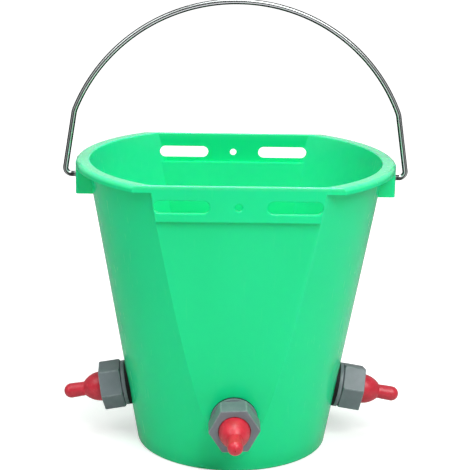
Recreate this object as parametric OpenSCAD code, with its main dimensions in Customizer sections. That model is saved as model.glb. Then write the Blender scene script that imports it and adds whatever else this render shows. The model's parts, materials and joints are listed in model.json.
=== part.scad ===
// Multi teat lamb feeder: a moulded bucket with two flat sides to hang by, a wire bail,
// and three screw-on rubber teats, each fed through a check valve in the wall.
// The origin is on the floor under the middle of the base, +Z is up and the front teat points to -Y.

/* [Bucket] */
// Height of the rim above the floor
rim_h = 270; // [250:1:290]
// Outside radius of the wall, carried up to the rim
wall_top_r = 135.75; // [133:0.25:138]
// Outside radius of the wall, carried down to the floor
wall_base_r = 88.5; // [87:0.5:92]
// Thickness of the wall
wall_t = 2.5; // [2:0.1:3]
// Thickness of the bottom
bottom_t = 3; // [2:0.1:5]
// Height of the foot ring that holds the bottom off the floor
foot_h = 3; // [1.5:0.5:6]
// Width of the foot ring where it stands on the floor
foot_w = 9; // [5:0.5:14]
// Radius of the rounded edge outside the foot
foot_edge_r = 2; // [1:0.5:5]
// Radius of the rounded corner inside, round the bottom
bottom_edge_r = 5; // [3:0.5:8]

/* [Flat sides] */
// Distance from the axis to a flat side at the rim, as a share of the wall's radius there
flat_share = 0.8265; // [0.8:0.0005:0.86]
// Height where a flat side runs out into the round wall
flat_fade_h = 10.5; // [8:0.5:30]
// How far the hanging band stands out from the flat side at the rim
band_step = 1.6; // [0.5:0.1:2]
// Height of the hanging band
band_h = 31; // [28:0.5:36]
// Thickness of the hanging band
band_t = 3; // [2.5:0.1:3.5]
// Length of the band along the rim
band_top_l = 150; // [144:1:151]
// Length of the band along its lower edge
band_low_l = 141.5; // [132:0.5:142]
// Radius of the rounded upright edges at the band's ends
band_end_r = 1; // [0.5:0.1:2]

/* [Hanging slots] */
// Length of a slot from end to end
slot_l = 47.5; // [40:0.5:54]
// Width of a slot
slot_w = 11; // [8:0.5:14]
// How far a slot stays inside the end of its band
slot_margin = 0.6; // [0.5:0.1:8]
// Depth of the slots and the peg hole below the rim
slot_drop = 18.5; // [16:0.5:19]
// Diameter of the peg hole between the slots
peg_hole_d = 6.5; // [5:0.5:12]
// Radius of the rounded outer edge of a slot or the peg hole
slot_edge_r = 1.2; // [0.5:0.1:1.8]

/* [Rim] */
// Width of the rim flange outside the wall
rim_w = 9.5; // [7:0.5:14]
// Height of the flange's skirt
flange_h = 6; // [5:0.5:10]
// Thickness of the flange's top
flange_t = 2.5; // [2:0.1:3.5]
// Thickness of the flange's skirt
skirt_t = 2.5; // [2:0.1:3]
// Radius of the rounded outer edge of the flange
flange_edge_r = 4; // [2.5:0.5:4.5]
// Radius of the rounded edge along the top of a band
band_edge_r = 1.6; // [1:0.1:1.8]
// Radius of the rounded inner edge of the mouth
mouth_edge_r = 1.2; // [0.5:0.1:1.3]

/* [Bail ears] */
// Width of an ear along the rim
ear_w = 28; // [22:1:34]
// Depth of the ear's open end below the rim
ear_drop = 32; // [28:1:40]
// Thickness of the outer face of an ear
ear_face_t = 3; // [2:0.1:3.4]
// Thickness of the cheeks of an ear
ear_cheek_t = 2.5; // [2:0.1:4]
// Radius of the upright corners of an ear
ear_corner_r = 3; // [1.5:0.5:5]

/* [Bail] */
// Diameter of the wire
wire_d = 5; // [4:0.1:6]
// Depth of the bail's pivot below the rim
pivot_drop = 16.5; // [15:0.5:20]
// Gap between the flange and the middle line of a leg, at the height of the pivot
leg_gap = 10.8; // [9:0.1:17]
// Lean of a leg towards the axis
leg_lean = 9; // [6:0.5:11]
// Height above the pivot where a leg turns into the shoulder
leg_h = 56; // [45:1:70]
// Radius of the bend at the foot of a leg, on the wire's middle line
foot_bend_r = 5.5; // [4.5:0.5:8]
// Radius of the shoulder bend, on the wire's middle line
shoulder_r = 20; // [15:1:40]
// Height of the crown above the pivot, on the wire's middle line
crown_h = 158.5; // [150:0.5:165]
// Diameter of the peened head that keeps the wire in the ear
bail_head_d = 8; // [7:0.5:10]
// Thickness of the peened head
bail_head_t = 2; // [1.5:0.1:2.5]
// How much the wire swells all round where it is bent
bend_swell = 0.05; // [0.03:0.01:0.1]

/* [Teat stations] */
// Height of the front station's axis where it leaves the flat side
front_station_h = 53; // [46:0.5:60]
// Height of the side stations' axes where they leave the wall
side_station_h = 52; // [42:0.5:60]
// Turn of the front collar nut, with a flat up at zero
front_nut_turn = 3; // [0:1:59]
// Turn of the left collar nut, with a corner up at zero
left_nut_turn = 22; // [0:1:59]
// Turn of the right collar nut, with a corner up at zero
right_nut_turn = 18; // [0:1:59]

/* [Valve body] */
// Diameter of the round flange outside the wall
body_flange_d = 42; // [40.5:0.5:45]
// Thickness of the round flange
body_flange_t = 3.4; // [2.5:0.1:6]
// Diameter of the spigot that the collar nut screws on
spigot_d = 32.4; // [31:0.1:34]
// Length of the spigot beyond its flange
spigot_l = 15.4; // [14:0.1:17]
// Diameter of the stem that goes through the wall
stem_d = 21; // [18:0.5:24]
// Length of the stem behind the flange
stem_l = 17.4; // [17:0.1:24]
// Diameter of the milk way through the stem
inlet_d = 9; // [7:0.5:10]
// Diameter of the ball chamber
chamber_d = 14; // [13.8:0.1:16]

/* [Seals and lock nut] */
// Diameter of the outer seal
outer_seal_d = 42; // [38:0.5:44]
// Thickness of the outer seal on the station's axis
outer_seal_t = 1.4; // [1:0.1:3]
// Diameter of the inner seal
inner_seal_d = 36; // [34:0.5:38]
// Thickness of the inner seal where it is thinnest
inner_seal_t = 1.5; // [1:0.1:2]
// Width of the lock nut across its flats
lock_nut_af = 32; // [30:0.5:34]
// Thickness of the lock nut
lock_nut_t = 8; // [6:0.5:9]

/* [Check valve] */
// Diameter of the ball
ball_d = 13; // [12:0.1:13.4]
// Free travel of the ball between its seat and the retainer
ball_travel = 3.7; // [3:0.1:4]
// Diameter of the ball retainer
retainer_d = 22; // [20:0.5:26]
// Thickness of the ball retainer
retainer_t = 2; // [1.5:0.1:2.5]
// Width of the retainer's rim
retainer_rim_w = 2.5; // [1.5:0.1:3]
// Width of a spoke of the retainer
spoke_w = 2.6; // [1.5:0.1:4]
// Diameter of the retainer's hub
hub_d = 7; // [5:0.5:9]
// Number of spokes
spoke_count = 3; // [2:1:5]

/* [Collar nut] */
// Width of the collar nut across its flats
nut_af = 40; // [39:0.5:44]
// Length of the collar nut
nut_l = 20.4; // [19:0.1:23]
// Thickness of the lip that holds the teat
nut_lip_t = 3; // [2:0.1:4]
// Gap between the nut and the round flange behind it
nut_gap = 0.5; // [0.2:0.1:1]

/* [Teat] */
// Diameter of the teat where it leaves the nut
dome_d = 27.8; // [24:0.1:28]
// Length of the dome beyond the nut
dome_l = 16.4; // [12:0.1:18]
// Thickness of the rubber
rubber_t = 2.4; // [1.8:0.1:3]
// Thickness of the teat's clamped flange
teat_flange_t = 2.3; // [1.5:0.1:3]
// Diameter of the nipple at its root
nipple_root_d = 13.2; // [11:0.1:14]
// Diameter of the rounded tip
nipple_tip_d = 13.8; // [12:0.1:15]
// Length of the teat beyond the nut
teat_l = 36.2; // [32:0.1:40]
// Diameter of the milk way in the nipple
nipple_bore_d = 6; // [4:0.1:7]
// Diameter of the hole in the tip
tip_hole_d = 1.6; // [1:0.1:2.5]

/* [Fits] */
// Radial clearance of a turning or threaded fit
thread_gap = 0.3; // [0.2:0.05:0.5]
// Clearance left at the ends of a loose travel
end_gap = 0.3; // [0.2:0.05:0.5]
// Clearance left where two flat faces lie against each other and turn
face_gap = 0.1; // [0.05:0.05:0.3]

/* [Hidden] */
$fn = 96;

// Sides of the large round walls when they are drawn as a mesh
wall_fn = 240;

// How far a cut runs past the face it goes through
overrun = 1;

// Slopes of the wall and of the flat sides
taper = atan((wall_top_r - wall_base_r) / rim_h);
function wall_r(z) = wall_base_r + z * tan(taper);
function cavity_r(z) = wall_r(z) - wall_t / cos(taper);
flat_top_y = flat_share * wall_top_r;
flat_lean = atan((flat_top_y - wall_r(flat_fade_h)) / (rim_h - flat_fade_h));
function flat_y(z) = flat_top_y - (rim_h - z) * tan(flat_lean);
function cavity_y(z) = flat_y(z) - wall_t / cos(flat_lean);

// Heights in the bucket
bottom_z = foot_h + bottom_t;
band_z = rim_h - band_h;
slot_z = rim_h - slot_drop;
pivot_z = rim_h - pivot_drop;
foot_r = wall_base_r + foot_edge_r * (tan(taper) - 1 / cos(taper));
flange_r = wall_top_r + rim_w;

// Hanging bands and their slots
band_y = flat_top_y + band_step;
band_end_lean = atan((band_top_l - band_low_l) / 2 / (band_h - flange_t));
slot_reach = band_low_l / 2 + (slot_z - band_z) * tan(band_end_lean) - slot_margin;
slot_pitch = 2 * slot_reach - slot_l;
// Depth of a slot's cut, so that its outer end comes out through the round wall inside
slot_depth = band_y - sqrt(cavity_r(slot_z - slot_w / 2) ^ 2 - slot_reach ^ 2) + overrun;

// Bail outline: middle lines of the leg, the shoulder and the crown, from the pivot's middle
leg_x = flange_r + leg_gap;
foot_bend_x = leg_x - foot_bend_r * (1 + sin(leg_lean)) / cos(leg_lean);
leg_foot = [foot_bend_x + foot_bend_r * cos(leg_lean), foot_bend_r * (1 + sin(leg_lean))];
leg_head = [leg_x - leg_h * tan(leg_lean), leg_h];
shoulder_c = leg_head - shoulder_r * [cos(leg_lean), sin(leg_lean)];
crown_rest = crown_h - shoulder_r;
crown_c = (shoulder_c * shoulder_c - crown_rest ^ 2) / (2 * (shoulder_c[1] - crown_rest));
crown_r = crown_h - crown_c;
crown_start = atan2(shoulder_c[1] - crown_c, shoulder_c[0]);
bail_head_x = flange_r - ear_face_t - end_gap;
// How far a straight or gently curved length of wire runs on inside the bend that it meets
bend_lap = 0.4;
crown_lap = bend_lap / crown_r * 180 / PI;

// Stations: the front one stands square on the flat side, the other two square on the round wall
stem_hole_r = stem_d / 2 + thread_gap;
outer_sag = wall_r(side_station_h) - sqrt(wall_r(side_station_h) ^ 2 - outer_seal_d ^ 2 / 4);
inner_sag = cavity_r(side_station_h) - sqrt(cavity_r(side_station_h) ^ 2 - inner_seal_d ^ 2 / 4);
function clamp_w(i) = wall_t + inner_seal_t + (i == 0 ? 0 : inner_sag);
function station_axis(i) = i == 0 ? [0, -cos(flat_lean), -sin(flat_lean)]
    : [(i == 1 ? -1 : 1) * cos(taper), 0, -sin(taper)];

// Places along a station's axis, from the outside of the wall
flange_w = outer_seal_t + body_flange_t;
spigot_w = flange_w + spigot_l;
retainer_w = spigot_w - retainer_t;
ball_w = retainer_w - end_gap - ball_d / 2;
seated_ball_w = ball_w - ball_travel - end_gap;
// The seat is a cone of 45 degrees, so the ball lies on it where its own slope is the same
seat_w = seated_ball_w - ball_d / 2 * sqrt(2) + inlet_d / 2;
nut_w = flange_w + nut_gap;
nut_face_w = nut_w + nut_l;
nut_bore_r = spigot_d / 2 + thread_gap;

// Teat outline: the dome is an arc that leaves the nut square to its face
nipple_root_r = nipple_root_d / 2;
nipple_tip_r = nipple_tip_d / 2;
nipple_bore_r = nipple_bore_d / 2;
dome_r = dome_d / 2;
dome_drop = dome_r - nipple_root_r;
dome_arc_r = (dome_l ^ 2 + dome_drop ^ 2) / (2 * dome_drop);
teat_flange_r = nut_bore_r - 2 * thread_gap;
tip_w = teat_l - nipple_tip_r;

// A square corner at the origin with its inside rounded away, in the quarter of +X and +Y
module corner_cut(r) {
    difference() {
        square(r + overrun);
        circle(r);
    }
}

// Half profile of the wall's outside, filled, with the rounded edge outside the foot
module wall_profile() {
    polygon([
        [0, 0],
        [foot_r, 0],
        [foot_r + foot_edge_r * cos(taper), foot_edge_r * (1 - sin(taper))],
        [wall_top_r, rim_h],
        [0, rim_h]
    ]);
    translate([foot_r, foot_edge_r]) circle(foot_edge_r);
}

// Half profile of the space inside, with a rounded corner round the bottom and a rounded mouth
module cavity_profile() {
    corner_r = cavity_r(bottom_z) + bottom_edge_r * (tan(taper) - 1 / cos(taper));
    mouth_c = [cavity_r(rim_h - mouth_edge_r) + mouth_edge_r / cos(taper), rim_h - mouth_edge_r];
    mouth_start = mouth_c + mouth_edge_r * [-cos(taper), sin(taper)];
    polygon([
        [0, bottom_z],
        [corner_r, bottom_z],
        [corner_r + bottom_edge_r * cos(taper), bottom_z + bottom_edge_r * (1 - sin(taper))],
        mouth_start,
        [mouth_start[0], rim_h + overrun],
        [0, rim_h + overrun]
    ]);
    translate([corner_r, bottom_z + bottom_edge_r]) circle(bottom_edge_r);
    difference() {
        polygon([
            mouth_start,
            mouth_c,
            [mouth_c[0], rim_h + overrun],
            [mouth_start[0], rim_h + overrun]
        ]);
        translate(mouth_c) circle(mouth_edge_r);
    }
}

// Carries a profile drawn across the bucket, with Y to the right and Z up, along the bucket's X
module along_x(length) {
    rotate([90, 0, 90])
        translate([0, 0, -length / 2])
            linear_extrude(length)
                children();
}

// The wall's outside with its two flat sides, filled
module skin() {
    intersection() {
        rotate_extrude($fn = wall_fn) wall_profile();
        along_x(2 * flange_r)
            polygon([
                [-flat_y(0), 0],
                [flat_y(0), 0],
                [flat_top_y, rim_h],
                [-flat_top_y, rim_h]
            ]);
    }
}

// The space inside, which steps out behind the hanging bands
module cavity() {
    inner_band_z = band_z + band_t;
    inner_band_y = band_y - band_t;
    intersection() {
        rotate_extrude($fn = wall_fn) cavity_profile();
        along_x(2 * flange_r)
            union() {
                polygon([
                    [-cavity_y(0), 0],
                    [cavity_y(0), 0],
                    [cavity_y(inner_band_z), inner_band_z],
                    [inner_band_y, inner_band_z],
                    [inner_band_y, rim_h + overrun],
                    [-inner_band_y, rim_h + overrun],
                    [-inner_band_y, inner_band_z],
                    [-cavity_y(inner_band_z), inner_band_z]
                ]);
                for (side = [0, 1])
                    mirror([side, 0])
                        translate([inner_band_y, rim_h - mouth_edge_r])
                            difference() {
                                square([mouth_edge_r, mouth_edge_r + overrun]);
                                translate([mouth_edge_r, 0]) circle(mouth_edge_r);
                            }
            }
    }
}

// The upright bands at the top of the flat sides, which carry the slots; they stand on the wall below
module bands() {
    root_y = cavity_y(band_z);
    end_l = band_h / cos(band_end_lean);
    for (side = [0, 180])
        rotate([0, 0, side])
            difference() {
                translate([0, -root_y, 0])
                    rotate([90, 0, 0])
                        linear_extrude(band_y - root_y)
                            polygon([
                                [-band_low_l / 2, band_z],
                                [band_low_l / 2, band_z],
                                [band_top_l / 2, rim_h - flange_t],
                                [-band_top_l / 2, rim_h - flange_t]
                            ]);
                for (end = [0, 1])
                    mirror([end, 0])
                        translate([band_low_l / 2, -band_y, band_z])
                            rotate([0, band_end_lean, 0])
                                translate([-band_end_r, band_end_r, -overrun])
                                    rotate([0, 0, -90])
                                        linear_extrude(end_l + overrun) corner_cut(band_end_r);
            }
}

// Flange round the mouth, cut straight along the bands and hollow behind its skirt
module rim_flange() {
    skirt_z = rim_h - flange_h;
    difference() {
        intersection() {
            rotate_extrude()
                difference() {
                    translate([0, skirt_z]) square([flange_r, flange_h]);
                    translate([flange_r - flange_edge_r, rim_h - flange_edge_r]) corner_cut(flange_edge_r);
                }
            along_x(2 * flange_r)
                difference() {
                    translate([-band_y, skirt_z]) square([2 * band_y, flange_h]);
                    for (side = [0, 1])
                        mirror([side, 0])
                            translate([band_y - band_edge_r, rim_h - band_edge_r])
                                corner_cut(band_edge_r);
                }
        }
        intersection() {
            translate([0, 0, skirt_z - overrun])
                cylinder(r = flange_r - skirt_t, h = flange_h - flange_t + overrun);
            translate([-flange_r, skirt_t - band_y, skirt_z - overrun])
                cube([2 * flange_r, 2 * (band_y - skirt_t), flange_h - flange_t + overrun]);
        }
    }
}

// Box ears under the flange that hold the ends of the bail, open below
module ears() {
    inner_x = wall_r(rim_h - ear_drop) - wall_t;
    pocket_w = ear_w - 2 * ear_cheek_t;
    for (side = [0, 180])
        rotate([0, 0, side])
            translate([0, 0, rim_h - ear_drop])
                difference() {
                    linear_extrude(ear_drop - flange_t)
                        union() {
                            translate([inner_x, -ear_w / 2])
                                square([flange_r - ear_corner_r - inner_x, ear_w]);
                            translate([inner_x, ear_corner_r - ear_w / 2])
                                square([flange_r - inner_x, ear_w - 2 * ear_corner_r]);
                            for (cheek = [-1, 1])
                                translate([flange_r - ear_corner_r, cheek * (ear_w / 2 - ear_corner_r)])
                                    circle(ear_corner_r);
                        }
                    translate([inner_x - overrun, -pocket_w / 2, -overrun])
                        cube([flange_r - ear_face_t - inner_x + overrun, pocket_w, ear_drop + overrun]);
                }
}

// Half profile of a hole cut inwards from the band's face, which is at zero, with a rounded outer edge
module hole_profile(hole_r, depth) {
    translate([0, -depth]) square([hole_r, depth + overrun]);
    translate([hole_r, -slot_edge_r])
        difference() {
            square([slot_edge_r, slot_edge_r + overrun]);
            translate([slot_edge_r, 0]) circle(slot_edge_r);
        }
}

// Cut for one slot, lying along X and opening towards -Y
module slot_cut() {
    straight_l = slot_l - slot_w;
    rotate([90, 0, 0]) {
        for (end = [-1, 1])
            translate([end * straight_l / 2, 0, 0]) rotate_extrude() hole_profile(slot_w / 2, slot_depth);
        rotate([90, 0, 90])
            translate([0, 0, -straight_l / 2])
                linear_extrude(straight_l)
                    for (side = [0, 1])
                        mirror([side, 0]) hole_profile(slot_w / 2, slot_depth);
    }
}

// Both slots and the peg hole of each band
module hanging_cuts() {
    for (side = [0, 180])
        rotate([0, 0, side])
            translate([0, -band_y, slot_z]) {
                for (slot = [-1, 1])
                    translate([slot * slot_pitch / 2, 0, 0]) slot_cut();
                rotate([90, 0, 0])
                    rotate_extrude() hole_profile(peg_hole_d / 2, band_t + overrun);
            }
}

// Frame of a station: 0 is the front, 1 the left and 2 the right; its +Z points out of the wall
module station(i) {
    if (i == 0)
        translate([0, -flat_y(front_station_h), front_station_h])
            rotate([90 + flat_lean, 0, 0])
                children();
    else
        rotate([0, 0, i == 1 ? 180 : 0])
            translate([wall_r(side_station_h), 0, side_station_h])
                rotate([0, 90 + taper, 0])
                    children();
}

// Bucket: one moulding with its rim, ears and bands
module bucket() {
    color("mediumseagreen")
        difference() {
            union() {
                skin();
                bands();
                rim_flange();
                ears();
            }
            cavity();
            translate([0, 0, -overrun]) cylinder(r = foot_r - foot_w, h = foot_h + overrun);
            hanging_cuts();
            for (side = [0, 180])
                rotate([0, 0, side])
                    translate([flange_r - ear_face_t - overrun, 0, pivot_z])
                        rotate([0, 90, 0])
                            cylinder(d = wire_d + 2 * thread_gap, h = ear_face_t + 2 * overrun);
            for (i = [0 : 2])
                station(i)
                    translate([0, 0, -wall_t - inner_sag - overrun])
                        cylinder(r = stem_hole_r, h = wall_t + inner_sag + 2 * overrun);
        }
}

// Bend in the wire, in the XZ plane, turned from one angle to the other
module wire_bend(centre, bend_r, from, to, swell) {
    translate([centre[0], 0, centre[1]])
        rotate([90, 0, 0])
            rotate([0, 0, from])
                rotate_extrude(angle = to - from)
                    translate([bend_r, 0]) circle(r = wire_d / 2 + swell);
}

// Straight length of wire in the XZ plane from a point, leaning from +Z towards -X
module wire_run(start, lean, length) {
    translate([start[0], 0, start[1]])
        rotate([0, -lean, 0])
            cylinder(d = wire_d, h = length);
}

// Bail: one piece of wire with peened ends, upright over the mouth
module bail() {
    color("silver")
        translate([0, 0, pivot_z]) {
            for (side = [0, 180])
                rotate([0, 0, side]) {
                    translate([bail_head_x - bail_head_t, 0, 0])
                        rotate([0, 90, 0])
                            cylinder(d = bail_head_d, h = bail_head_t);
                    wire_run([bail_head_x - bail_head_t / 2, 0], -90,
                        foot_bend_x - bail_head_x + bail_head_t / 2 + bend_lap);
                    wire_bend([foot_bend_x, foot_bend_r], foot_bend_r, -90, leg_lean, bend_swell);
                    wire_run(leg_foot + bend_lap * [sin(leg_lean), -cos(leg_lean)], leg_lean,
                        norm(leg_head - leg_foot) + 2 * bend_lap);
                    wire_bend(shoulder_c, shoulder_r, leg_lean, crown_start, bend_swell);
                }
            wire_bend([0, crown_c], crown_r, crown_start - crown_lap, 180 - crown_start + crown_lap, 0);
        }
}

// Valve body: round flange outside, stem through the wall, spigot for the collar nut,
// milk way, conical ball seat, ball chamber and the pocket of the retainer
module valve_body() {
    seat_l = (chamber_d - inlet_d) / 2;
    color("slategray")
        difference() {
            union() {
                translate([0, 0, outer_seal_t]) cylinder(d = body_flange_d, h = body_flange_t);
                translate([0, 0, flange_w]) cylinder(d = spigot_d, h = spigot_l);
                translate([0, 0, outer_seal_t - stem_l]) cylinder(d = stem_d, h = stem_l);
            }
            translate([0, 0, outer_seal_t - stem_l - overrun])
                cylinder(d = inlet_d, h = stem_l - outer_seal_t + seat_w + 2 * overrun);
            translate([0, 0, seat_w]) cylinder(d1 = inlet_d, d2 = chamber_d, h = seat_l);
            translate([0, 0, seat_w + seat_l]) cylinder(d = chamber_d, h = spigot_w - seat_w);
            translate([0, 0, retainer_w]) cylinder(d = retainer_d, h = retainer_t + overrun);
        }
}

// Outer seal: rubber ring that fills the space between the round flange and the wall
module outer_seal(i) {
    color("black")
        difference() {
            station(i)
                difference() {
                    translate([0, 0, -outer_sag - overrun])
                        cylinder(d = outer_seal_d, h = outer_seal_t + outer_sag + overrun);
                    translate([0, 0, -outer_sag - 2 * overrun])
                        cylinder(r = stem_hole_r, h = outer_seal_t + outer_sag + 3 * overrun);
                }
            skin();
        }
}

// Inner seal: rubber ring between the wall's inside, which it all but touches, and the lock nut
module inner_seal(i) {
    color("black")
        intersection() {
            station(i)
                translate([0, 0, -clamp_w(i)])
                    difference() {
                        cylinder(d = inner_seal_d, h = clamp_w(i) + overrun);
                        translate([0, 0, -overrun]) cylinder(r = stem_hole_r, h = clamp_w(i) + 3 * overrun);
                    }
            translate(-face_gap * station_axis(i)) cavity();
        }
}

// Lock nut: hexagon nut on the stem, inside the bucket
module lock_nut(i) {
    color("slategray")
        translate([0, 0, -clamp_w(i) - lock_nut_t])
            difference() {
                cylinder(d = lock_nut_af / cos(30), h = lock_nut_t, $fn = 6);
                translate([0, 0, -overrun]) cylinder(r = stem_hole_r, h = lock_nut_t + 2 * overrun);
            }
}

// Ball retainer: spoked disc in the end of the spigot that keeps the ball out of the teat
module ball_retainer() {
    color("gainsboro")
        translate([0, 0, retainer_w])
            linear_extrude(retainer_t)
                union() {
                    difference() {
                        circle(d = retainer_d);
                        circle(d = retainer_d - 2 * retainer_rim_w);
                    }
                    circle(d = hub_d);
                    for (spoke = [0 : spoke_count - 1])
                        rotate(spoke * 360 / spoke_count)
                            translate([0, -spoke_w / 2])
                                square([retainer_d / 2 - retainer_rim_w / 2, spoke_w]);
                }
}

// Valve ball: free between its seat and the retainer
module valve_ball() {
    color("white") translate([0, 0, ball_w]) sphere(d = ball_d);
}

// Collar nut: hexagon cap with a lip that clamps the teat on the spigot
module collar_nut(turn) {
    color("slategray")
        difference() {
            translate([0, 0, nut_w])
                rotate(turn)
                    cylinder(d = nut_af / cos(30), h = nut_l, $fn = 6);
            translate([0, 0, nut_w - overrun]) cylinder(r = nut_bore_r, h = nut_l - nut_lip_t + overrun);
            translate([0, 0, nut_w]) cylinder(r = dome_r + thread_gap, h = nut_l + overrun);
        }
}

// Half profile of the dome, from the nut's face; inset by the rubber's thickness for the hollow
module dome_profile(inset) {
    intersection() {
        translate([dome_r - dome_arc_r, 0]) circle(dome_arc_r - inset);
        square([dome_r, dome_l]);
    }
}

// Teat: hollow rubber dome and nipple with a clamped flange
module teat() {
    seat_l = nut_face_w - spigot_w;
    color("crimson")
        translate([0, 0, nut_face_w])
            rotate_extrude()
                difference() {
                    union() {
                        translate([0, -seat_l + face_gap]) square([teat_flange_r, teat_flange_t]);
                        translate([0, -seat_l + face_gap]) square([dome_r, seat_l - face_gap]);
                        dome_profile(0);
                        polygon([
                            [0, 0],
                            [nipple_root_r, 0],
                            [nipple_root_r, dome_l],
                            [nipple_tip_r, tip_w],
                            [0, tip_w]
                        ]);
                        intersection() {
                            translate([0, tip_w]) circle(nipple_tip_r);
                            translate([0, tip_w]) square(nipple_tip_d);
                        }
                    }
                    translate([0, -seat_l - overrun]) square([dome_r - rubber_t, seat_l + overrun]);
                    intersection() {
                        dome_profile(rubber_t);
                        square([dome_r, dome_l - rubber_t]);
                    }
                    square([nipple_bore_r, tip_w]);
                    square([tip_hole_d / 2, teat_l + overrun]);
                }
}

bucket();
bail();
station(0) valve_body();  // front_valve_body
station(1) valve_body();  // left_valve_body
station(2) valve_body();  // right_valve_body
outer_seal(0);  // front_outer_seal
outer_seal(1);  // left_outer_seal
outer_seal(2);  // right_outer_seal
inner_seal(0);  // front_inner_seal
inner_seal(1);  // left_inner_seal
inner_seal(2);  // right_inner_seal
station(0) lock_nut(0);  // front_lock_nut
station(1) lock_nut(1);  // left_lock_nut
station(2) lock_nut(2);  // right_lock_nut
station(0) ball_retainer();  // front_ball_retainer
station(1) ball_retainer();  // left_ball_retainer
station(2) ball_retainer();  // right_ball_retainer
station(0) valve_ball();  // front_valve_ball
station(1) valve_ball();  // left_valve_ball
station(2) valve_ball();  // right_valve_ball
station(0) collar_nut(front_nut_turn);  // front_collar_nut
station(1) collar_nut(left_nut_turn);  // left_collar_nut
station(2) collar_nut(right_nut_turn);  // right_collar_nut
station(0) teat();  // front_teat
station(1) teat();  // left_teat
station(2) teat();  // right_teat
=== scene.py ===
import json
import math

import bpy
from mathutils import Matrix, Vector


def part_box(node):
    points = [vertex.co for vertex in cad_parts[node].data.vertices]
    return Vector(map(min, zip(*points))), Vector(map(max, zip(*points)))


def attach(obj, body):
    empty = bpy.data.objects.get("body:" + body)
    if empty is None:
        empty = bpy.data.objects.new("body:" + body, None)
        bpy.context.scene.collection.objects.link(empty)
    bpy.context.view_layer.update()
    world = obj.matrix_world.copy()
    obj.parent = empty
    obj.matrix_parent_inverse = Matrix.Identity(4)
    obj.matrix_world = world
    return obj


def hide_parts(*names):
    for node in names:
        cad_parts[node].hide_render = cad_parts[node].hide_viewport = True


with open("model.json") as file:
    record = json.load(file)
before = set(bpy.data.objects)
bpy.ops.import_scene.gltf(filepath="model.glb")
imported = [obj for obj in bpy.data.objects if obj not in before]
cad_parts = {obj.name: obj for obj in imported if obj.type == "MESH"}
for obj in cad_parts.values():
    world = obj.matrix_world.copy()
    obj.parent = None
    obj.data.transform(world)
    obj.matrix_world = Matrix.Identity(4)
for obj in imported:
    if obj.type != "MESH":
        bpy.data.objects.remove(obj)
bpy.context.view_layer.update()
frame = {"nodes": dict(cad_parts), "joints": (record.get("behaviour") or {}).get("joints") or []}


# Bucket
# One injection moulding in green polypropylene: wall, foot, rim, ears and hanging bands together. The CAD
# solid is its true shape and stays, with the satin skin that the mould left. Light passes into the thin wall,
# and the upper wall inside is painted paler, a painted light where the lamps fall on it.

mm = 0.001
bucket_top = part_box("bucket")[1].z
wall_low_r = 88.5 * mm
wall_top_r = 135.75 * mm
wall_slope = (wall_top_r - wall_low_r) / bucket_top
flat_top_y = 112.2 * mm
flat_slope = 0.0842
flat_low_y = flat_top_y - bucket_top * flat_slope

bucket_green = (0.010, 0.800, 0.325, 1)
bucket_green_deep = (0.008, 0.765, 0.300, 1)
# Paler green of scuffs on the foot, and on the rim partly a painted highlight
bucket_scuff_and_highlight = (0.150, 0.800, 0.430, 1)
# Painted highlight along the right-hand creases
bucket_crease_highlight = (0.030, 0.860, 0.400, 1)
# Painted shade low on the wall, where the base stands behind it
bucket_base_shade = (0.003, 0.660, 0.240, 1)
# Painted light on the upper wall inside
bucket_inside_lit = (0.026, 0.810, 0.380, 1)
light_reach = 3 * mm
light_reach_shares = (0.05, 1.0, 0.45)
bucket_roughness = (0.20, 0.28)
polish_shares = (0.36, 1.0)
grain_depth = 0.012 * mm
drag_depth = 0.008 * mm
mottle_depth = 0.03 * mm

flow_span = (0.35, 0.65)
foot_wear_h = 6 * mm
foot_wear_share = 0.2
rim_wear_and_highlight_h = 4 * mm
scuff_and_highlight_shares = (0.33, 0.60)
scratch_span = (0.62, 0.74)
scratch_share = 0.03
crease_highlight_w = 1.6 * mm
crease_highlight_x = (0, 20 * mm)
crease_highlight_h = (90 * mm, 180 * mm)
crease_highlight_share = 0.35
base_shade_h = (8 * mm, 16 * mm)
base_shade_share = 0.3
inside_lit_h = (188 * mm, 214 * mm)
inside_lit_depth = (0.8 * mm, 1.3 * mm)
inside_lit_shares = (0.75, 1.0)

# Most values of a noise lie in this span
noise_span = (0.3, 0.7)


def blank_finish(name):
    """A new node material, its shader, and the coordinates that its patterns lie on."""
    finish = bpy.data.materials.new(name)
    finish.use_nodes = True
    shader = finish.node_tree.nodes["Principled BSDF"]
    place = finish.node_tree.nodes.new("ShaderNodeTexCoord").outputs["Object"]
    return finish, shader, place


def fill_sockets(finish, node, sockets):
    """Sets each socket to a plain value, or joins another node's output to it."""
    for name, value in sockets.items():
        if isinstance(value, bpy.types.NodeSocket):
            finish.node_tree.links.new(value, node.inputs[name])
        else:
            node.inputs[name].default_value = value


def add_node(finish, kind, sockets, **settings):
    """A shader node of that kind, with its settings made and its sockets filled."""
    node = finish.node_tree.nodes.new("ShaderNode" + kind)
    for name, value in settings.items():
        setattr(node, name, value)
    fill_sockets(finish, node, sockets)
    return node


def worked_out(finish, operation, *values):
    """The outcome of a sum on plain values or other nodes' outputs."""
    return add_node(finish, "Math", dict(enumerate(values)), operation=operation).outputs["Value"]


def noise(finish, place, per_metre, detail=2, stretch=(1, 1, 1)):
    """Noise from 0 to 1, about that many patches in a metre, drawn out along an axis by a small stretch."""
    drawn_out = add_node(finish, "Mapping", {"Vector": place, "Scale": stretch}).outputs["Vector"]
    sockets = {"Vector": drawn_out, "Scale": per_metre, "Detail": detail}
    return add_node(finish, "TexNoise", sockets).outputs["Fac"]


def spread(finish, value, low, high, to_low=0, to_high=1):
    """The value's range from low to high, spread over another range and held at its ends."""
    sockets = {"Value": value, "From Min": low, "From Max": high, "To Min": to_low, "To Max": to_high}
    return add_node(finish, "MapRange", sockets).outputs["Result"]


def laid_over(finish, share, under, over):
    """One colour laid over another by a share."""
    return add_node(finish, "Mix", {0: share, 6: under, 7: over}, data_type="RGBA").outputs[2]


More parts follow.
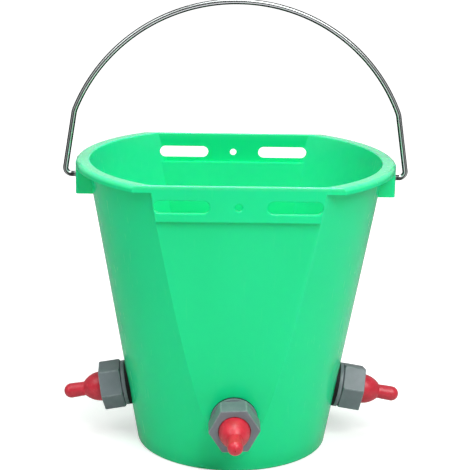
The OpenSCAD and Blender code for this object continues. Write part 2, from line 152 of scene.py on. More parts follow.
def bumped(finish, height, distance, normal=None):
    """A bump of that depth in metres, on top of another bump if one is given."""
    sockets = {"Height": height, "Distance": distance, "Strength": 1.0}
    if normal is not None:
        sockets["Normal"] = normal
    return add_node(finish, "Bump", sockets).outputs["Normal"]


def set_finish(finish, shader, colour, roughness, normal, **others):
    """Joins the patterns to the shader; numbers that are the same all over go on its own sockets."""
    fill_sockets(finish, shader, {"Base Color": colour, "Roughness": roughness, "Normal": normal})
    fill_sockets(finish, shader, {name.replace("_", " "): value for name, value in others.items()})


bucket_finish, bucket_shader, place = blank_finish("bucket_polypropylene")
along = add_node(bucket_finish, "SeparateXYZ", {"Vector": place}).outputs
height = along["Z"]
flow = noise(bucket_finish, place, per_metre=9, stretch=(1, 1, 0.4))
mottle = noise(bucket_finish, place, per_metre=160, detail=4)
grain = noise(bucket_finish, place, per_metre=2400)
drag = noise(bucket_finish, place, per_metre=340, detail=3, stretch=(1, 1, 0.03))
scratching = noise(bucket_finish, place, per_metre=90, detail=8, stretch=(1, 1, 0.12))
green = laid_over(bucket_finish, spread(bucket_finish, flow, *flow_span), bucket_green_deep, bucket_green)

# Scuffs on the rim and the foot, and fine scratches. The paler scuff colour on the rim is partly a painted
# highlight along its rounded edges.
foot_wear = spread(bucket_finish, height, foot_wear_h, 0, 0, foot_wear_share)
rim_wear_and_highlight = spread(bucket_finish, height, bucket_top - rim_wear_and_highlight_h, bucket_top)
wear_and_highlight = worked_out(bucket_finish, "MAXIMUM", foot_wear, rim_wear_and_highlight)
scuffs_and_highlight = spread(bucket_finish, mottle, *noise_span, *scuff_and_highlight_shares)
scuffs_and_highlight = worked_out(bucket_finish, "MULTIPLY", wear_and_highlight, scuffs_and_highlight)
scratches = spread(bucket_finish, scratching, *scratch_span, 0, scratch_share)
marks_and_highlight = worked_out(bucket_finish, "ADD", scuffs_and_highlight, scratches)
green = laid_over(bucket_finish, marks_and_highlight, green, bucket_scuff_and_highlight)

# How deep a place lies behind the outer faces of the round wall and of the flats, which meet at the creases
level_place = add_node(bucket_finish, "VectorMath", {0: place, 1: (1, 1, 0)}, operation="MULTIPLY")
level_place = level_place.outputs["Vector"]
from_axis = add_node(bucket_finish, "VectorMath", {0: level_place}, operation="LENGTH").outputs["Value"]
from_middle = worked_out(bucket_finish, "ABSOLUTE", along["Y"])
round_face = worked_out(bucket_finish, "MULTIPLY_ADD", height, wall_slope, wall_low_r)
flat_face = worked_out(bucket_finish, "MULTIPLY_ADD", height, flat_slope, flat_low_y)
in_round = worked_out(bucket_finish, "SUBTRACT", round_face, from_axis)
in_flat = worked_out(bucket_finish, "SUBTRACT", flat_face, from_middle)

# Painted highlight along the right-hand creases, where a rounded crease would catch the key lamp
off_crease = worked_out(bucket_finish, "SUBTRACT", in_round, in_flat)
off_crease = worked_out(bucket_finish, "ABSOLUTE", off_crease)
crease_highlight = spread(bucket_finish, off_crease, crease_highlight_w, 0, 0, crease_highlight_share)
crease_highlight = worked_out(bucket_finish, "MULTIPLY", crease_highlight, spread(bucket_finish, height, *crease_highlight_h))
crease_highlight = worked_out(bucket_finish, "MULTIPLY", crease_highlight, spread(bucket_finish, along["X"], *crease_highlight_x))
green = laid_over(bucket_finish, crease_highlight, green, bucket_crease_highlight)
# Painted shade: a deeper green low on the wall, where the base behind it keeps light from passing through
base_shade = spread(bucket_finish, height, *base_shade_h, base_shade_share, 0)
green = laid_over(bucket_finish, base_shade, green, bucket_base_shade)

# Painted light: a paler green on the upper wall, on the inside only
within = worked_out(bucket_finish, "MINIMUM", in_round, in_flat)
inside_lit = spread(bucket_finish, within, *inside_lit_depth)
inside_lit = worked_out(bucket_finish, "MULTIPLY", inside_lit, spread(bucket_finish, height, *inside_lit_h))
inside_lit = worked_out(bucket_finish, "MULTIPLY", inside_lit, spread(bucket_finish, mottle, *noise_span, *inside_lit_shares))
green = laid_over(bucket_finish, inside_lit, green, bucket_inside_lit)

skin = bumped(bucket_finish, grain, grain_depth)
skin = bumped(bucket_finish, drag, drag_depth, skin)
skin = bumped(bucket_finish, mottle, mottle_depth, skin)
roughness = spread(bucket_finish, drag, *noise_span, *bucket_roughness)
polish = spread(bucket_finish, rim_wear_and_highlight, 0, 1, *polish_shares)
set_finish(bucket_finish, bucket_shader, green, roughness, skin, IOR=1.49, Specular_IOR_Level=0.05,
           Coat_Weight=polish, Coat_Roughness=0.1, Subsurface_Weight=0.5,
           Subsurface_Radius=light_reach_shares, Subsurface_Scale=light_reach)
frame["nodes"]["bucket"].material_slots[0].material = bucket_finish


# Bail
# One length of 5 mm steel wire, bent cold and zinc plated, with its ends peened inside the ears so that
# they can't pull out. It is swept bend by bend from its peened end to the crown, then mirrored. Light and
# dark lines run along it, painted reflections of the studio, with a slight twist at the crown.

wire_sides = 24
leg_gap = 10.8 * mm
leg_lean = math.radians(9)
leg_h = 56 * mm
foot_bend_r = 5.5 * mm
foot_bend_steps = 14
shoulder_r = 20 * mm
shoulder_steps = 6
crown_h = 158.5 * mm
crown_steps = 40
ear_wall = 3.3 * mm
mirror_gap = 0.01 * mm
merge_gap = 0.001 * mm
wire_smooth_below = math.radians(50)

# The peened head from its end face, as length and radius in millimetres, down to the wire's own radius
peened_head = ((0.0, 2.4), (0.4, 3.5), (0.9, 4.0), (1.5, 3.9), (2.0, 3.0), (2.2, 2.5))

# Where each painted reflection line runs, from the wire's inner side at -1 to its outer side at 1, and how
# bright it is
reflection_lines = ((-1.0, 0.05), (-0.82, 0.05), (-0.66, 0.03), (-0.54, 0.15), (-0.42, 0.90),
             (-0.20, 1.00), (-0.10, 0.15), (0.02, 0.03), (0.14, 0.05), (0.28, 0.32),
             (0.40, 0.68), (0.52, 0.42), (0.66, 0.08), (0.85, 0.02), (1.0, 0.02))
reflection_tint = (0.93, 1.0, 0.98)
inner_reflection_tint = (0.97, 0.86, 1.0)
inner_side = -0.3
reflection_twist = math.radians(9)
reflection_wander_limit = 0.06
wire_edge_tint = (0.30, 0.24, 0.28, 1)
wire_tarnish = (0.16, 0.17, 0.16, 1)
tarnish_span = (0.5, 0.75)
tarnish_share = 0.3
tarnish_depth = 0.02 * mm
wire_roughness = (0.22, 0.34)

pivot = Vector(next(joint for joint in frame["joints"] if joint["name"] == "bail_swing")["pos_m"])
rim_edge_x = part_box("bucket")[1].x
leg_x = rim_edge_x + leg_gap
foot_bend_x = leg_x - foot_bend_r * (1 + math.sin(leg_lean)) / math.cos(leg_lean)
foot_bend = Vector((foot_bend_x, 0, pivot.z + foot_bend_r))
leg_side = Vector((math.cos(leg_lean), 0, math.sin(leg_lean)))
leg_foot = foot_bend + foot_bend_r * leg_side
leg_head = Vector((leg_x - leg_h * math.tan(leg_lean), 0, pivot.z + leg_h))
shoulder = leg_head - shoulder_r * leg_side
shoulder_rise = shoulder.z - pivot.z
crown_rest = crown_h - shoulder_r
crown_drop = (shoulder.x ** 2 + shoulder_rise ** 2 - crown_rest ** 2) / (2 * (shoulder_rise - crown_rest))
crown_start = math.atan2(shoulder_rise - crown_drop, shoulder.x)
crown_middle = Vector((0, 0, pivot.z + crown_drop))
head_l = peened_head[-1][0] * mm
head_x = rim_edge_x - ear_wall - head_l


def push_out(way):
    """Draws the selected end out by a vector."""
    bpy.ops.mesh.extrude_region_move(TRANSFORM_OT_translate={"value": way})


def bend_round(centre, angle, steps):
    """Draws the selected end round a bend in the bail's plane."""
    bpy.ops.mesh.spin(steps=steps, angle=angle, center=centre, axis=(0, 1, 0))


bpy.ops.object.select_all(action="DESELECT")
bpy.ops.mesh.primitive_circle_add(vertices=wire_sides, radius=peened_head[0][1] * mm, fill_type="NGON",
                                  location=(head_x, 0, pivot.z), rotation=(0, math.radians(90), 0))
wire = bpy.context.object
wire.name = wire.data.name = "bail_wire_swept"
bpy.ops.object.transform_apply(location=True, rotation=True, scale=True)
bpy.ops.object.mode_set(mode="EDIT")
bpy.ops.mesh.select_all(action="SELECT")
for (start, start_r), (end, end_r) in zip(peened_head, peened_head[1:]):
    swell = end_r / start_r
    push_out(((end - start) * mm, 0, 0))
    bpy.ops.transform.resize(value=(1, swell, swell), center_override=(head_x + end * mm, 0, pivot.z))
push_out((foot_bend.x - head_x - head_l, 0, 0))
bend_round(foot_bend, math.radians(90) + leg_lean, foot_bend_steps)
push_out(leg_head - leg_foot)
bend_round(shoulder, crown_start - leg_lean, shoulder_steps)
bend_round(crown_middle, math.radians(90) - crown_start, crown_steps)
bpy.ops.mesh.delete(type="ONLY_FACE")
bpy.ops.object.mode_set(mode="OBJECT")
bpy.ops.object.modifier_add(type="MIRROR")
wire.modifiers["Mirror"].merge_threshold = mirror_gap
bpy.ops.object.modifier_apply(modifier="Mirror")
bpy.ops.object.mode_set(mode="EDIT")
bpy.ops.mesh.select_all(action="SELECT")
bpy.ops.mesh.remove_doubles(threshold=merge_gap)
bpy.ops.mesh.normals_make_consistent(inside=False)
bpy.ops.object.mode_set(mode="OBJECT")
bpy.ops.object.shade_smooth_by_angle(angle=wire_smooth_below)

# Which way each point faces round the wire, for the painted reflection lines, twisted a little near the crown
wire.data.attributes.new("round_way", "FLOAT", "POINT")
for point, mark in zip(wire.data.vertices, wire.data.attributes["round_way"].data):
    outward = point.co - crown_middle
    outward.y = 0
    outward.normalize()
    twist = reflection_twist * max(outward.z, 0) ** 2
    mark.value = point.normal.dot(outward * math.cos(twist) + Vector((0, math.sin(twist), 0)))

wire_finish, wire_shader, place = blank_finish("bail_zinc_plate")
reflection_wander = spread(wire_finish, noise(wire_finish, place, per_metre=12), *noise_span, -reflection_wander_limit, reflection_wander_limit)
round_way = add_node(wire_finish, "Attribute", {}, attribute_name="round_way").outputs["Fac"]
round_way = worked_out(wire_finish, "ADD", round_way, reflection_wander)
# Painted reflections: light and dark lines of base colour round the wire
painted_reflections = add_node(wire_finish, "ValToRGB", {"Fac": spread(wire_finish, round_way, -1, 1)})
ramp = painted_reflections.color_ramp.elements
for line in reflection_lines[1:-1]:
    ramp.new((line[0] + 1) / 2)
for element, (line_at, bright) in zip(ramp, reflection_lines):
    tint = reflection_tint if line_at > inner_side else inner_reflection_tint
    element.color = (*(bright * share for share in tint), 1)
tarnish = noise(wire_finish, place, per_metre=40, detail=3)
tarnished = spread(wire_finish, tarnish, *tarnish_span, 0, tarnish_share)
metal = laid_over(wire_finish, tarnished, painted_reflections.outputs["Color"], wire_tarnish)
skin = bumped(wire_finish, tarnish, tarnish_depth)
roughness = spread(wire_finish, tarnish, *noise_span, *wire_roughness)
set_finish(wire_finish, wire_shader, metal, roughness, skin, Metallic=0.9, Specular_Tint=wire_edge_tint)
wire.data.materials.append(wire_finish)
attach(wire, "bail_wire")
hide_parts("bail")


# Valve bodies
# Grey moulded nylon, one at each teat: a round flange outside the wall, a threaded stem through it, and a
# threaded spigot for the collar nut, bored for the milk. Each is turned from its outline; the threads are
# ridges wound on it.

stations = ("front", "left", "right")
wall_t = 2.5 * mm
seal_t = 1.4 * mm
flange_r = 21 * mm
flange_t = 3.4 * mm
flange_face = seal_t + flange_t
spigot_r = 16.2 * mm
spigot_l = 15.4 * mm
spigot_end = flange_face + spigot_l
stem_r = 10.5 * mm
stem_l = 17.4 * mm
stem_end = seal_t - stem_l
milk_way_r = 4.5 * mm
chamber_r = 7 * mm
seat_low = 2.7 * mm
seat_high = seat_low + chamber_r - milk_way_r
pocket_r = 11 * mm
pocket_depth = 2 * mm
pocket_floor = spigot_end - pocket_depth
moulded_edge = 0.4 * mm
eased_above = math.radians(40)
turned_sides = 72
smooth_below = math.radians(35)

thread_depth = 0.8 * mm
thread_bite = 0.1 * mm
thread_root_share = 0.45
thread_crest_share = 0.22
thread_steps = 48
spigot_core_r = spigot_r - thread_depth
spigot_pitch = 4 * mm
spigot_thread_gap = 0.8 * mm
spigot_thread_low = flange_face + spigot_thread_gap
spigot_thread_turns = 3
stem_core_r = stem_r - thread_depth
stem_pitch = 2 * mm
stem_thread_gap = 0.4 * mm
stem_thread_low = stem_end + stem_thread_gap
stem_thread_turns = 5

nylon_grey = (0.148, 0.174, 0.194, 1)
nylon_grey_pale = (0.198, 0.225, 0.248, 1)
# Paler grey of the eased edges, partly wear and partly a painted highlight
nylon_worn_highlight = (0.27, 0.30, 0.32, 1)
rub_and_highlight_span = (0.35, 0.6)
rub_and_highlight_shares = (0.2, 0.8)
nylon_roughness = (0.36, 0.50)
fleck_depth = 0.02 * mm
patch_depth = 0.12 * mm


def drawn(name, outline):
    """A chain of edges through the outline's points of radius and height, left in edit mode."""
    bpy.ops.object.select_all(action="DESELECT")
    bpy.ops.mesh.primitive_plane_add(size=mm)
    piece = bpy.context.object
    piece.name = piece.data.name = name
    bpy.ops.object.mode_set(mode="EDIT")
    bpy.ops.mesh.select_mode(type="VERT")
    bpy.ops.mesh.select_all(action="SELECT")
    bpy.ops.mesh.merge(type="CENTER")
    here = Vector((outline[0][0], 0, outline[0][1]))
    bpy.ops.transform.translate(value=here)
    for radius, height in outline[1:]:
        there = Vector((radius, 0, height))
        bpy.ops.mesh.extrude_vertices_move(TRANSFORM_OT_translate={"value": there - here})
        here = there
    bpy.ops.mesh.select_all(action="SELECT")
    return piece


def close_up(piece):
    """Merges the seams, turns all faces outwards and goes back to object mode."""
    bpy.ops.mesh.select_all(action="SELECT")
    bpy.ops.mesh.remove_doubles(threshold=merge_gap)
    bpy.ops.mesh.normals_make_consistent(inside=False)
    bpy.ops.object.mode_set(mode="OBJECT")
    return piece


def apply_modifier(piece, kind, **settings):
    """Adds a modifier to the active piece and applies it."""
    bpy.ops.object.modifier_add(type=kind)
    modifier = piece.modifiers[-1]
    for name, value in settings.items():
        setattr(modifier, name, value)
    bpy.ops.object.modifier_apply(modifier=modifier.name)


def turned(name, outline):
    """A piece turned about its own axis from a closed outline."""
    piece = drawn(name, [*outline, outline[0]])
    bpy.ops.mesh.spin(steps=turned_sides, angle=math.radians(360), center=(0, 0, 0), axis=(0, 0, 1))
    return close_up(piece)


def thread(name, root_r, crest_r, low, pitch, turns):
    """A right-hand thread ridge with sloping flanks, wound about the axis and closed at both ends."""
    root_w = thread_root_share * pitch
    crest_w = thread_crest_share * pitch
    outline = [(root_r, low), (crest_r, low + (root_w - crest_w) / 2),
               (crest_r, low + (root_w + crest_w) / 2), (root_r, low + root_w)]
    piece = drawn(name, [*outline, outline[0]])
    close_up(piece)
    apply_modifier(piece, "SCREW", screw_offset=pitch, iterations=turns, steps=thread_steps,
                   render_steps=thread_steps)
    bpy.ops.object.mode_set(mode="EDIT")
    bpy.ops.mesh.select_mode(type="EDGE")
    bpy.ops.mesh.select_all(action="DESELECT")
    bpy.ops.mesh.select_non_manifold()
    bpy.ops.mesh.edge_face_add()
    return close_up(piece)


def joined(main, *others):
    """One piece from several that are moulded together."""
    bpy.ops.object.select_all(action="DESELECT")
    for piece in (main, *others):
        piece.select_set(True)
    bpy.context.view_layer.objects.active = main
    bpy.ops.object.join()
    return main


def station_frame(station):
    """Where a station's axis leaves the wall. +Z points out; +X lies along the front wall, or down a side."""
    nut_turn = next(joint for joint in frame["joints"] if joint["name"] == station + "_nut_turn")
    out = Vector(nut_turn["axis"])
    across = Vector((1, 0, 0)) if station == "front" else Vector((0, 0, -1))
    across = (across - across.dot(out) * out).normalized()
    turned_frame = Matrix((across, out.cross(across), out)).transposed().to_4x4()
    turned_frame.translation = nut_turn["pos_m"]
    return turned_frame


def fit_to_stations(pattern, kind, node, body, finish, turns=(0, 0, 0), shifts=(0, 0, 0)):
    """Copies of a piece made on the Z axis, one at each station, in place of that station's CAD node.
    A turn is about the station's axis, in degrees, and a shift is along it."""
    pattern.data.materials.clear()
    pattern.data.materials.append(finish)
    for station, turn, shift in zip(stations, turns, shifts):
        piece = pattern.copy()
        piece.data = pattern.data.copy()
        piece.name = piece.data.name = station + "_" + kind
        piece.data.transform(station_frame(station) @ Matrix.Translation((0, 0, shift))
                             @ Matrix.Rotation(math.radians(turn), 4, "Z"))
        bpy.context.scene.collection.objects.link(piece)
        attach(piece, body.format(station))
        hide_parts(station + "_" + node)
    bpy.data.objects.remove(pattern)


valve_body = turned("valve_body_pattern", [
    (milk_way_r, stem_end), (stem_core_r, stem_end), (stem_core_r, -wall_t), (stem_r, -wall_t),
    (stem_r, seal_t), (flange_r, seal_t), (flange_r, flange_face), (spigot_core_r, flange_face),
    (spigot_core_r, spigot_end), (pocket_r, spigot_end), (pocket_r, pocket_floor), (chamber_r, pocket_floor),
    (chamber_r, seat_high), (milk_way_r, seat_low)])
apply_modifier(valve_body, "BEVEL", width=moulded_edge, segments=2, limit_method="ANGLE",
               angle_limit=eased_above)
valve_body = joined(
    valve_body,
    thread("spigot_thread", spigot_core_r - thread_bite, spigot_r, spigot_thread_low, spigot_pitch,
           spigot_thread_turns),
    thread("stem_thread", stem_core_r - thread_bite, stem_r, stem_thread_low, stem_pitch, stem_thread_turns))
bpy.ops.object.shade_smooth_by_angle(angle=smooth_below)

nylon_finish, nylon_shader, place = blank_finish("fitting_nylon")
patch = noise(nylon_finish, place, per_metre=70, detail=4)
fleck = noise(nylon_finish, place, per_metre=900, detail=3)
rub_and_highlight = noise(nylon_finish, place, per_metre=300, detail=4)
rub_and_highlight = spread(nylon_finish, rub_and_highlight, *rub_and_highlight_span, *rub_and_highlight_shares)
# Paler eased edges: partly wear, partly a painted highlight along the corners
edge = add_node(nylon_finish, "Attribute", {}, attribute_name="worn_and_highlit_edge").outputs["Fac"]
worn_and_highlit = worked_out(nylon_finish, "MULTIPLY", edge, rub_and_highlight)
grey = laid_over(nylon_finish, spread(nylon_finish, patch, *noise_span), nylon_grey, nylon_grey_pale)
grey = laid_over(nylon_finish, worn_and_highlit, grey, nylon_worn_highlight)
skin = bumped(nylon_finish, fleck, fleck_depth, bumped(nylon_finish, patch, patch_depth))
roughness = spread(nylon_finish, fleck, *noise_span, *nylon_roughness)
set_finish(nylon_finish, nylon_shader, grey, roughness, skin, IOR=1.53)
fit_to_stations(valve_body, "threaded_body", "valve_body", "feeder", nylon_finish)


# Seals
# Two black rubber rings at each teat, one on each side of the wall, cut to the wall's curve.
# The CAD solids are their true shape and stay.

rubber_black = (0.004, 0.004, 0.0045, 1)
rubber_grey = (0.012, 0.012, 0.013, 1)
bloom_span = (0.4, 0.7)
seal_roughness = (0.50, 0.72)
seal_grain_depth = 0.03 * mm

seal_finish, seal_shader, place = blank_finish("seal_rubber_black")
bloom = noise(seal_finish, place, per_metre=220, detail=5)
grain = noise(seal_finish, place, per_metre=1500, detail=3)
black = laid_over(seal_finish, spread(seal_finish, bloom, *bloom_span), rubber_black, rubber_grey)
skin = bumped(seal_finish, grain, seal_grain_depth)
roughness = spread(seal_finish, bloom, *noise_span, *seal_roughness)
set_finish(seal_finish, seal_shader, black, roughness, skin, Specular_IOR_Level=0.2)
for station in stations:
    for seal in ("outer_seal", "inner_seal"):
        frame["nodes"][station + "_" + seal].material_slots[0].material = seal_finish


# Lock nuts
# Grey moulded hexagon nuts on the stems inside the bucket, which draw the valve bodies against the wall.
# Each is a hexagon bar with its corners and ends eased, then bored.

lock_nut_af = 32 * mm
lock_nut_t = 8 * mm
lock_nut_bore_r = 10.8 * mm
lock_nut_lead_in = 1 * mm
corner_ease = 1.1 * mm
end_ease = 0.9 * mm
level_gap = 0.01 * mm
overrun = 1 * mm
side_angle = 60
flat_spread = 1
end_cosine = 0.99
flat_cosine = 0.01
back_cosine = -0.2


def select_edges(piece, wanted):
    """Goes into edit mode with only the edges selected whose two ends are the wanted ones."""
    bpy.ops.object.mode_set(mode="EDIT")
    bpy.ops.mesh.select_mode(type="EDGE")
    bpy.ops.mesh.select_all(action="DESELECT")
    bpy.ops.object.mode_set(mode="OBJECT")
    points = piece.data.vertices
    for edge in piece.data.edges:
        edge.select = wanted(points[edge.vertices[0]].co, points[edge.vertices[1]].co)
    bpy.ops.object.mode_set(mode="EDIT")


def hexagon(name, across_flats, low, high):
    """A hexagon bar along Z with a corner on +X, its six corners and both ends rounded over."""
    bpy.ops.object.select_all(action="DESELECT")
    bpy.ops.mesh.primitive_cylinder_add(vertices=6, radius=across_flats / math.sqrt(3), depth=high - low,
                                        location=(0, 0, (low + high) / 2), rotation=(0, 0, math.radians(30)))
    piece = bpy.context.object
    piece.name = piece.data.name = name
    bpy.ops.object.transform_apply(location=True, rotation=True, scale=True)
    select_edges(piece, lambda start, end: abs(start.z - end.z) > level_gap)
    bpy.ops.mesh.bevel(offset=corner_ease, segments=4, affect="EDGES")
    select_edges(piece, lambda start, end: abs(start.z - end.z) < level_gap)
    bpy.ops.mesh.bevel(offset=end_ease, segments=2, affect="EDGES")
    bpy.ops.object.mode_set(mode="OBJECT")
    return piece


def bored(piece, cutter):
    """The piece with a turned cutter taken out of it."""
    bpy.ops.object.select_all(action="DESELECT")
    bpy.context.view_layer.objects.active = piece
    piece.select_set(True)
    apply_modifier(piece, "BOOLEAN", object=cutter, operation="DIFFERENCE", solver="EXACT")
    bpy.data.objects.remove(cutter)
    return piece


def mark_worn_and_highlit_edges(piece):
    """Marks the eased edges for the finish to lighten, as wear and as a painted highlight: faces that look
    along neither a flat nor the axis, and not back towards the wall."""
    piece.data.attributes.new("worn_and_highlit_edge", "FLOAT", "FACE")
    for face, mark in zip(piece.data.polygons, piece.data.attributes["worn_and_highlit_edge"].data):
        from_corner = math.degrees(math.atan2(face.normal.y, face.normal.x)) % side_angle
        on_end = abs(face.normal.z) > end_cosine
        on_flat = abs(face.normal.z) < flat_cosine and abs(from_corner - side_angle / 2) < flat_spread
        looks_back = face.normal.z < back_cosine
        mark.value = 0.0 if on_end or on_flat or looks_back else 1.0


def lowest_along(station, node):
    """How far a station's CAD node reaches into the bucket along the station's axis."""
    inward = station_frame(station).inverted()
    return min((inward @ point.co).z for point in frame["nodes"][station + "_" + node].data.vertices)


lock_nut = bored(hexagon("lock_nut_pattern", lock_nut_af, 0, lock_nut_t), turned("lock_nut_bore", [
    (0, -overrun), (lock_nut_bore_r + lock_nut_lead_in, -overrun), (lock_nut_bore_r, end_ease),
    (lock_nut_bore_r, lock_nut_t - end_ease), (lock_nut_bore_r + lock_nut_lead_in, lock_nut_t + overrun),
    (0, lock_nut_t + overrun)]))
mark_worn_and_highlit_edges(lock_nut)
bpy.ops.object.shade_smooth_by_angle(angle=smooth_below)
apply_modifier(lock_nut, "WEIGHTED_NORMAL", keep_sharp=True)
fit_to_stations(lock_nut, "stem_nut", "lock_nut", "feeder", nylon_finish,
                shifts=[lowest_along(station, "lock_nut") for station in stations])


# Check valves
# A loose ball in each spigot and the spoked disc that holds it in, both moulded in white acetal.
# The CAD solids are their true shape and stay.

acetal_white = (0.74, 0.73, 0.69, 1)
acetal_milky = (0.62, 0.60, 0.53, 1)
milk_stain_span = (0.45, 0.7)
acetal_roughness = (0.22, 0.38)
acetal_grain_depth = 0.01 * mm

acetal_finish, acetal_shader, place = blank_finish("valve_acetal")
milk_stain = noise(acetal_finish, place, per_metre=180, detail=5)
grain = noise(acetal_finish, place, per_metre=1200)
stained = spread(acetal_finish, milk_stain, *milk_stain_span)
white = laid_over(acetal_finish, stained, acetal_white, acetal_milky)
skin = bumped(acetal_finish, grain, acetal_grain_depth)
roughness = spread(acetal_finish, milk_stain, *noise_span, *acetal_roughness)
set_finish(acetal_finish, acetal_shader, white, roughness, skin, IOR=1.48)
for station in stations:
    for part in ("valve_ball", "ball_retainer"):
        frame["nodes"][station + "_" + part].material_slots[0].material = acetal_finish


# Teats
# Soft red rubber, moulded hollow: a flange that the collar nut clamps, a dome, and a nipple with a waist and
# a small hole in its round tip. Each is turned from its outline, outside and inside.

collar_gap = 0.5 * mm
collar_low = flange_face + collar_gap
collar_l = 20.4 * mm
nut_face = collar_low + collar_l
teat_gap = 0.1 * mm
teat_foot = spigot_end + teat_gap
teat_flange_r = 15.9 * mm
teat_flange_t = 2.3 * mm
dome_r = 13.9 * mm
dome_l = 16.4 * mm
rubber_t = 2.4 * mm
nipple_root_r = 6.6 * mm
nipple_tip_r = 6.9 * mm
root_fillet_r = 0.9 * mm
nipple_bore_r = 3 * mm
bore_end_angle = 75
tip_hole_r = 0.5 * mm
tip_edge_r = 0.4 * mm
teat_l = 36.2 * mm
teat_smooth_below = math.radians(40)

teat_red = (0.680, 0.022, 0.048, 1)
teat_red_deep = (0.570, 0.015, 0.034, 1)
teat_bloom = (0.760, 0.160, 0.180, 1)
lump_span = (0.35, 0.65)
dusting_span = (0.55, 0.75)
dusting_share = 0.22
teat_roughness = (0.30, 0.46)
pore_depth = 0.04 * mm
lump_depth = 0.3 * mm


def arc(centre, radius, start, end, steps):
    """Points along an arc of an outline, from one angle to the other in degrees."""
    angles = [math.radians(start + (end - start) * step / steps) for step in range(steps + 1)]
    return [(centre[0] + radius * math.cos(angle), centre[1] + radius * math.sin(angle)) for angle in angles]


dome_drop = dome_r - nipple_root_r
dome_arc_r = (dome_l ** 2 + dome_drop ** 2) / (2 * dome_drop)
dome_middle = (dome_r - dome_arc_r, nut_face)
fillet_x = nipple_root_r + root_fillet_r
fillet_rise = math.sqrt((dome_arc_r + root_fillet_r) ** 2 - (fillet_x - dome_middle[0]) ** 2)
fillet_middle = (fillet_x, nut_face + fillet_rise)
fillet_angle = math.degrees(math.atan2(fillet_rise, fillet_x - dome_middle[0]))
tip = nut_face + teat_l
tip_middle = (0, tip - nipple_tip_r)
hole_angle = math.degrees(math.acos((tip_hole_r + tip_edge_r) / nipple_tip_r))
bore_end = tip_middle[1] + nipple_bore_r
hollow_r = dome_arc_r - rubber_t
hollow_end = dome_l - rubber_t
hollow_angle = math.degrees(math.asin(hollow_end / hollow_r))

teat = turned("teat_pattern", [
    (dome_r - rubber_t, teat_foot), (teat_flange_r, teat_foot), (teat_flange_r, teat_foot + teat_flange_t),
    (dome_r, teat_foot + teat_flange_t),
    *arc(dome_middle, dome_arc_r, 0, fillet_angle, steps=12),
    *arc(fillet_middle, root_fillet_r, 180 + fillet_angle, 180, steps=6),
    *arc(tip_middle, nipple_tip_r, 0, hole_angle, steps=10),
    (tip_hole_r, tip - tip_edge_r), (tip_hole_r, bore_end),
    *arc(tip_middle, nipple_bore_r, bore_end_angle, 0, steps=4),
    (nipple_bore_r, nut_face + hollow_end),
    *arc(dome_middle, hollow_r, hollow_angle, 0, steps=8)])
bpy.ops.object.shade_smooth_by_angle(angle=teat_smooth_below)

teat_finish, teat_shader, place = blank_finish("teat_rubber_red")
lumps = noise(teat_finish, place, per_metre=150, detail=3)
pores = noise(teat_finish, place, per_metre=1100, detail=4)
dusting = noise(teat_finish, place, per_metre=420, detail=5)
dusting = spread(teat_finish, dusting, *dusting_span, 0, dusting_share)
red = laid_over(teat_finish, spread(teat_finish, lumps, *lump_span), teat_red_deep, teat_red)
red = laid_over(teat_finish, dusting, red, teat_bloom)
skin = bumped(teat_finish, pores, pore_depth, bumped(teat_finish, lumps, lump_depth))
roughness = spread(teat_finish, pores, *noise_span, *teat_roughness)
set_finish(teat_finish, teat_shader, red, roughness, skin, IOR=1.52)
fit_to_stations(teat, "rubber_teat", "teat", "{}_teat_body", teat_finish)


# Collar nuts
# Grey moulded hexagon caps that screw on the spigots and clamp the teats by a lip at the front.
# Each is a hexagon bar with its corners and ends eased, bored in steps and threaded inside.

collar_af = 40 * mm
collar_corner_r = collar_af / math.sqrt(3)
collar_bore_r = 16.5 * mm
collar_lead_in = 1.6 * mm
collar_thread_depth = 0.6 * mm
collar_thread_turns = 2
lip_t = 3 * mm
lip_gap = 0.3 * mm
lip_r = dome_r + lip_gap
lip_edge_r = 0.8 * mm
back_chamfer_r = 21.2 * mm
back_chamfer_l = 1.6 * mm
collar_turns = (3, 22, 18)

lip_back = nut_face - lip_t
lip_edge_middle = (lip_r + lip_edge_r, nut_face - lip_edge_r)
chamfer_end = collar_low + back_chamfer_l

collar = bored(hexagon("collar_pattern", collar_af, collar_low, nut_face), turned("collar_bore", [
    (0, collar_low - overrun), (collar_bore_r + collar_lead_in, collar_low - overrun),
    (collar_bore_r, collar_low + end_ease), (collar_bore_r, lip_back), (lip_r, lip_back),
    *arc(lip_edge_middle, lip_edge_r, 180, 90, steps=4),
    (lip_r + lip_edge_r, nut_face + overrun), (0, nut_face + overrun)]))
collar = bored(collar, turned("collar_back_chamfer", [
    (back_chamfer_r, collar_low), (collar_af, collar_low), (collar_af, chamfer_end),
    (collar_corner_r, chamfer_end)]))
mark_worn_and_highlit_edges(collar)
collar_thread = thread("collar_thread", collar_bore_r + thread_bite, collar_bore_r - collar_thread_depth,
                       spigot_thread_low + spigot_pitch / 2, spigot_pitch, collar_thread_turns)
collar = joined(collar, collar_thread)
bpy.ops.object.shade_smooth_by_angle(angle=smooth_below)
apply_modifier(collar, "WEIGHTED_NORMAL", keep_sharp=True)
fit_to_stations(collar, "clamp_cap", "collar_nut", "{}_nut_body", nylon_finish,
                turns=collar_turns)


# Studio
# A pale paper floor that runs out into a white surround, a large lamp overhead, a key lamp in front on the
# right, a weaker one on the left, and the camera at the photograph's place. Shiny surfaces mirror the floor
# darker than the camera sees it, apart from a bright pool in front on the right.

floor_size = 12
floor_drop = 0.2 * mm
floor_grey = (0.70, 0.70, 0.70, 1)
floor_mirrored = (0.40, 0.40, 0.40, 1)
studio_white = (1, 1, 1, 1)
lift_near, lift_far = 0.60, 1.0
near_reach, far_reach = 0.5, 2.5
pool_middle = (0.45, -0.45, 0)
pool_near, pool_far = 0.1, 1.0
pool_share = 1.0
surround_strength = 1.0
surround_mirrored_share = 0.55
ambient = 0.02
lamp_size = 1.2
lamp_target = Vector((0, 0, 0.15))


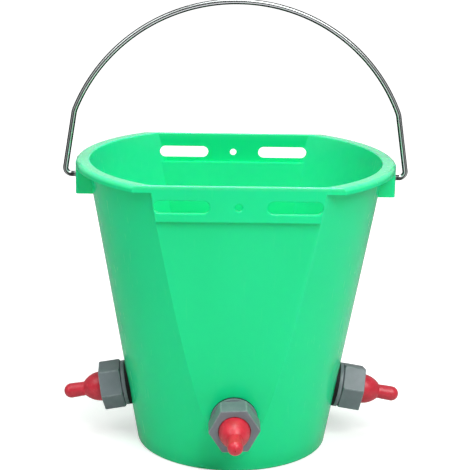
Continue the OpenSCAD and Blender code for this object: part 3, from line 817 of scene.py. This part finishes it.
def seen_strength(finish, white, mirrored_share):
    """The white that the camera sees, and a share of it that shiny surfaces mirror; other light gets none."""
    rays = finish.node_tree.nodes.new("ShaderNodeLightPath").outputs
    mirrored = worked_out(finish, "MULTIPLY", rays["Is Glossy Ray"], mirrored_share)
    straight = worked_out(finish, "MAXIMUM", rays["Is Camera Ray"], rays["Is Transmission Ray"])
    share = worked_out(finish, "MAXIMUM", straight, mirrored)
    return worked_out(finish, "MULTIPLY", share, white)


def lamp(name, location, power):
    """A square soft lamp that points at the object."""
    light = bpy.data.lights.new(name, "AREA")
    light.size = lamp_size
    light.energy = power
    stand = bpy.data.objects.new(name, light)
    stand.location = location
    stand.rotation_euler = (lamp_target - Vector(location)).to_track_quat("-Z", "Y").to_euler()
    bpy.context.scene.collection.objects.link(stand)


bpy.ops.object.select_all(action="DESELECT")
bpy.ops.mesh.primitive_plane_add(size=floor_size, location=(0, 0, -floor_drop))
floor = bpy.context.object
floor.name = "floor"
floor_finish, floor_shader, place = blank_finish("floor_paper")
far_off = add_node(floor_finish, "VectorMath", {0: place}, operation="LENGTH").outputs["Value"]
lift = spread(floor_finish, far_off, near_reach, far_reach, lift_near, lift_far)
from_pool = add_node(floor_finish, "VectorMath", {0: place, 1: pool_middle}, operation="DISTANCE")
pool = spread(floor_finish, from_pool.outputs["Value"], pool_near, pool_far, pool_share, 0)
mirrored_ray = floor_finish.node_tree.nodes.new("ShaderNodeLightPath").outputs["Is Glossy Ray"]
fill_sockets(floor_finish, floor_shader, {
    "Base Color": laid_over(floor_finish, mirrored_ray, floor_grey, floor_mirrored),
    "Roughness": 0.9,
    "Specular IOR Level": 0.0,
    "Emission Color": studio_white,
    "Emission Strength": seen_strength(floor_finish, lift, pool)})
floor.data.materials.append(floor_finish)

surround = bpy.data.worlds.new("surround")
bpy.context.scene.world = surround
surround.use_nodes = True
surround_seen = seen_strength(surround, surround_strength, surround_mirrored_share)
fill_sockets(surround, surround.node_tree.nodes["Background"], {
    "Color": studio_white,
    "Strength": worked_out(surround, "MAXIMUM", surround_seen, ambient)})

lamp("key_lamp", location=(0.78, -1.35, 1.71), power=35)
lamp("fill_lamp", location=(-1.35, -0.78, 1.71), power=14)
lamp("top_lamp", location=(0, -0.08, 2.35), power=39)

view_target = Vector((0.00035, 0, 0.19706))
view_distance = 1.44
view_azimuth = math.radians(-1.530)
view_elevation = math.radians(15.197)
view_roll = math.radians(1.082)
view_lens = 119.3
view_sensor = 36

back = Vector((math.sin(view_azimuth) * math.cos(view_elevation),
               -math.cos(view_azimuth) * math.cos(view_elevation), math.sin(view_elevation)))
right = (-back).cross(Vector((0, 0, 1))).normalized()
up = right.cross(-back)
level, tilt = math.cos(view_roll), math.sin(view_roll)
view_axes = Matrix((level * right + tilt * up, level * up - tilt * right, back)).transposed()
camera = bpy.data.objects.new("camera", bpy.data.cameras.new("camera"))
camera.data.sensor_width = view_sensor
camera.data.lens = view_lens
camera.matrix_world = view_axes.to_4x4()
camera.location = view_target + view_distance * back
bpy.context.scene.collection.objects.link(camera)
bpy.context.scene.camera = camera
bpy.context.scene.view_settings.view_transform = "Standard"
